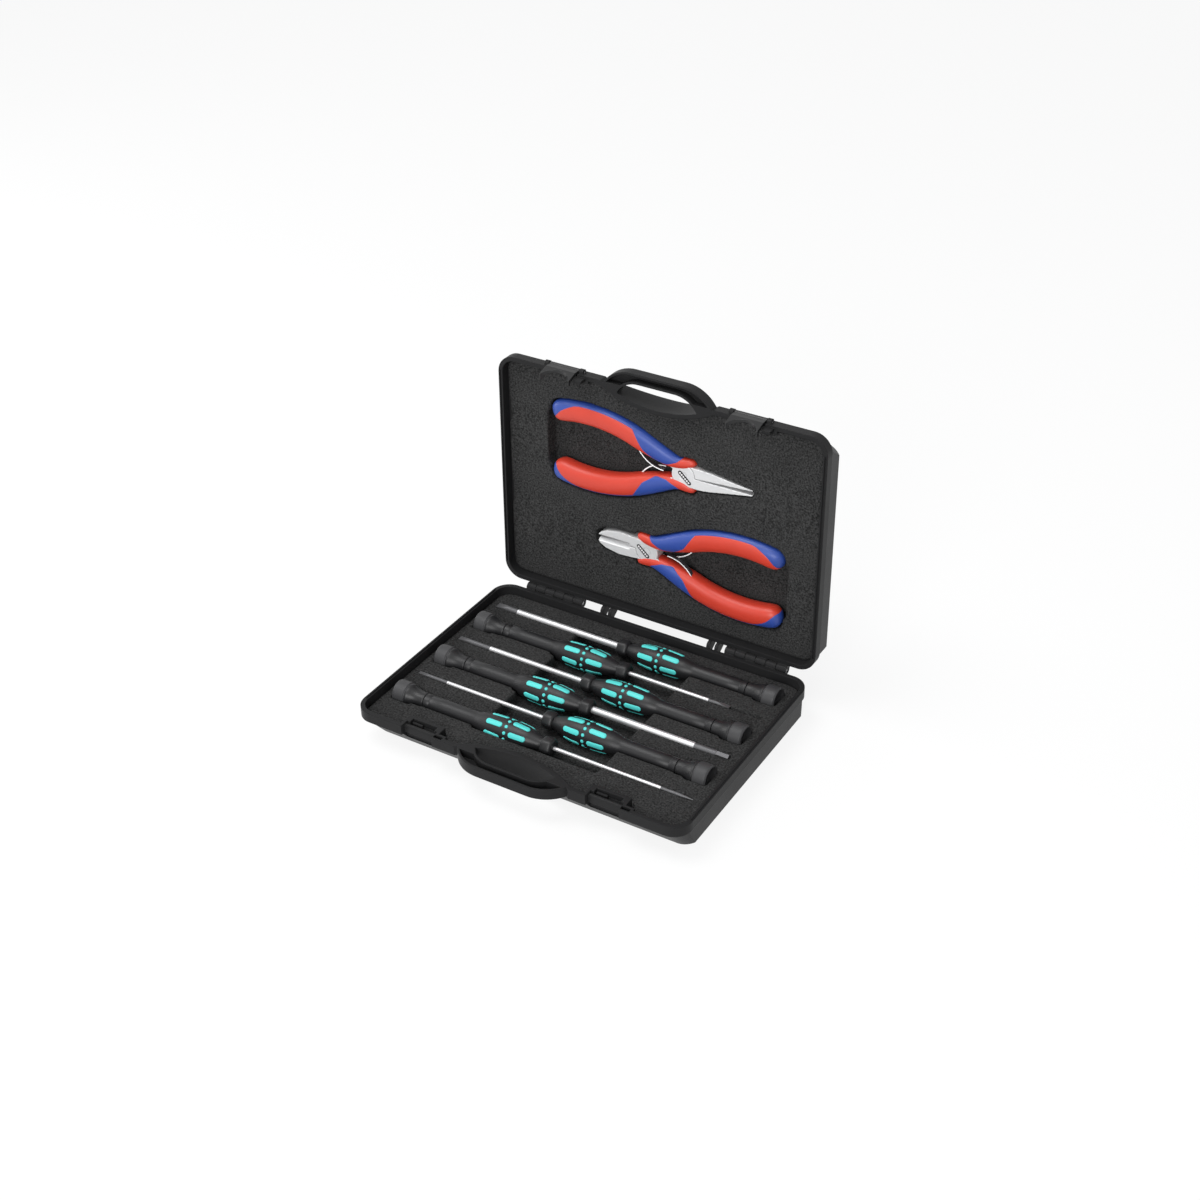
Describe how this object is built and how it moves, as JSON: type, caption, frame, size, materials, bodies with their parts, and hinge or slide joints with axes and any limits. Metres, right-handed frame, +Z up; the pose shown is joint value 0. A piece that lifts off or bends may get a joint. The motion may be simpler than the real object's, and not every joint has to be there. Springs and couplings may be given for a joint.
{
  "type": "fitted tool case",
  "caption": "Hard moulded tool case, open, with foam inserts, precision screwdrivers with teal grips in the base and two small pliers with red and blue sleeves in the lid",
  "frame": {"origin": "middle of the flat underside of the base shell, on the surface it rests on", "axes": "+X along the long side to the right as seen from the handle, +Y from the handle to the hinge, +Z up"},
  "size_m": [0.19, 0.1685, 0.1663],
  "materials": {
    "case_plastic": "fine-grained moulded polypropylene, satin",
    "foam": "closed-cell foam, matt and lightly pitted",
    "latch_plastic": "smooth moulded plastic, slightly glossier than the case",
    "pin_steel": "drawn steel wire",
    "handle_plastic": "hard dark plastic with a soft sheen",
    "grip_teal": "soft over-moulded grip",
    "cap_plastic": "hard dark plastic",
    "blade_steel": "bright plated steel with a dark tip",
    "plier_steel": "satin polished tool steel",
    "sleeve_red": "soft sleeve with a satin surface",
    "inlay_blue": "soft second-colour inlay",
    "spring_steel": "bright spring strip"
  },
  "bodies": {
    "base": {"base_shell": "case_plastic", "base_foam": "foam", "hinge_pin_left": "pin_steel", "hinge_pin_right": "pin_steel"},
    "lid": {"lid_shell": "case_plastic", "lid_foam": "foam", "latch_pin_left": "pin_steel", "latch_pin_right": "pin_steel"},
    "latch_left": {"latch_left": "latch_plastic"},
    "latch_right": {"latch_right": "latch_plastic"},
    "driver_1": {"driver_1_handle": "handle_plastic", "driver_1_grip": "grip_teal", "driver_1_blade": "blade_steel"},
    "driver_1_cap": {"driver_1_cap": "cap_plastic"},
    "driver_2": {"driver_2_handle": "handle_plastic", "driver_2_grip": "grip_teal", "driver_2_blade": "blade_steel"},
    "driver_2_cap": {"driver_2_cap": "cap_plastic"},
    "driver_3": {"driver_3_handle": "handle_plastic", "driver_3_grip": "grip_teal", "driver_3_blade": "blade_steel"},
    "driver_3_cap": {"driver_3_cap": "cap_plastic"},
    "driver_4": {"driver_4_handle": "handle_plastic", "driver_4_grip": "grip_teal", "driver_4_blade": "blade_steel"},
    "driver_4_cap": {"driver_4_cap": "cap_plastic"},
    "driver_5": {"driver_5_handle": "handle_plastic", "driver_5_grip": "grip_teal", "driver_5_blade": "blade_steel"},
    "driver_5_cap": {"driver_5_cap": "cap_plastic"},
    "driver_6": {"driver_6_handle": "handle_plastic", "driver_6_grip": "grip_teal", "driver_6_blade": "blade_steel"},
    "driver_6_cap": {"driver_6_cap": "cap_plastic"},
    "nose": {"nose_steel_a": "plier_steel", "nose_sleeve_a": "sleeve_red", "nose_inlay_a": "inlay_blue", "nose_spring_a": "spring_steel", "nose_rivet": "plier_steel"},
    "nose_half": {"nose_steel_b": "plier_steel", "nose_sleeve_b": "sleeve_red", "nose_inlay_b": "inlay_blue", "nose_spring_b": "spring_steel"},
    "cutter": {"cutter_steel_a": "plier_steel", "cutter_sleeve_a": "sleeve_red", "cutter_inlay_a": "inlay_blue", "cutter_spring_a": "spring_steel", "cutter_rivet": "plier_steel"},
    "cutter_half": {"cutter_steel_b": "plier_steel", "cutter_sleeve_b": "sleeve_red", "cutter_inlay_b": "inlay_blue", "cutter_spring_b": "spring_steel"}
  },
  "joints": [
    {"name": "lid_hinge", "type": "hinge", "parent": "base", "child": "lid", "pos_m": [0, 0.0703, 0.0201], "axis": [-1, 0, 0], "range_deg": [-91, 0]},
    {"name": "latch_left_pivot", "type": "hinge", "parent": "lid", "child": "latch_left", "pos_m": [-0.0555, 0.07601, 0.15802], "axis": [-1, 0, 0], "range_deg": [0, 60]},
    {"name": "latch_right_pivot", "type": "hinge", "parent": "lid", "child": "latch_right", "pos_m": [0.0517, 0.07601, 0.15802], "axis": [-1, 0, 0], "range_deg": [0, 60]},
    {"name": "driver_1_lift", "type": "slide", "parent": "base", "child": "driver_1", "axis": [0, 0, 1], "range_m": [0, 0.013]},
    {"name": "driver_1_cap_turn", "type": "hinge", "parent": "driver_1", "child": "driver_1_cap", "pos_m": [0.0759, 0.0514, 0.0149], "axis": [1, 0, 0], "continuous": true},
    {"name": "driver_2_lift", "type": "slide", "parent": "base", "child": "driver_2", "axis": [0, 0, 1], "range_m": [0, 0.013]},
    {"name": "driver_2_cap_turn", "type": "hinge", "parent": "driver_2", "child": "driver_2_cap", "pos_m": [-0.0791, 0.0333, 0.0149], "axis": [-1, 0, 0], "continuous": true},
    {"name": "driver_3_lift", "type": "slide", "parent": "base", "child": "driver_3", "axis": [0, 0, 1], "range_m": [0, 0.013]},
    {"name": "driver_3_cap_turn", "type": "hinge", "parent": "driver_3", "child": "driver_3_cap", "pos_m": [0.0759, 0.0152, 0.0149], "axis": [1, 0, 0], "continuous": true},
    {"name": "driver_4_lift", "type": "slide", "parent": "base", "child": "driver_4", "axis": [0, 0, 1], "range_m": [0, 0.013]},
    {"name": "driver_4_cap_turn", "type": "hinge", "parent": "driver_4", "child": "driver_4_cap", "pos_m": [-0.0791, -0.0029, 0.0149], "axis": [-1, 0, 0], "continuous": true},
    {"name": "driver_5_lift", "type": "slide", "parent": "base", "child": "driver_5", "axis": [0, 0, 1], "range_m": [0, 0.013]},
    {"name": "driver_5_cap_turn", "type": "hinge", "parent": "driver_5", "child": "driver_5_cap", "pos_m": [0.0759, -0.021, 0.0149], "axis": [1, 0, 0], "continuous": true},
    {"name": "driver_6_lift", "type": "slide", "parent": "base", "child": "driver_6", "axis": [0, 0, 1], "range_m": [0, 0.013]},
    {"name": "driver_6_cap_turn", "type": "hinge", "parent": "driver_6", "child": "driver_6_cap", "pos_m": [-0.0791, -0.0391, 0.0149], "axis": [-1, 0, 0], "continuous": true},
    {"name": "nose_lift", "type": "slide", "parent": "lid", "child": "nose", "axis": [0, -0.9998, 0.0175], "range_m": [0, 0.014]},
    {"name": "nose_squeeze", "type": "hinge", "parent": "nose", "child": "nose_half", "pos_m": [0.014, 0.07944, 0.11396], "axis": [0, 0.9998, -0.0175], "range_deg": [-3, 0], "stiffness_Nm_per_rad": 0.3},
    {"name": "cutter_lift", "type": "slide", "parent": "lid", "child": "cutter", "axis": [0, -0.9998, 0.0175], "range_m": [0, 0.014]},
    {"name": "cutter_squeeze", "type": "hinge", "parent": "cutter", "child": "cutter_half", "pos_m": [-0.007, 0.07854, 0.06246], "axis": [0, 0.9998, -0.0175], "range_deg": [-3, 0], "stiffness_Nm_per_rad": 0.3}
  ]
}
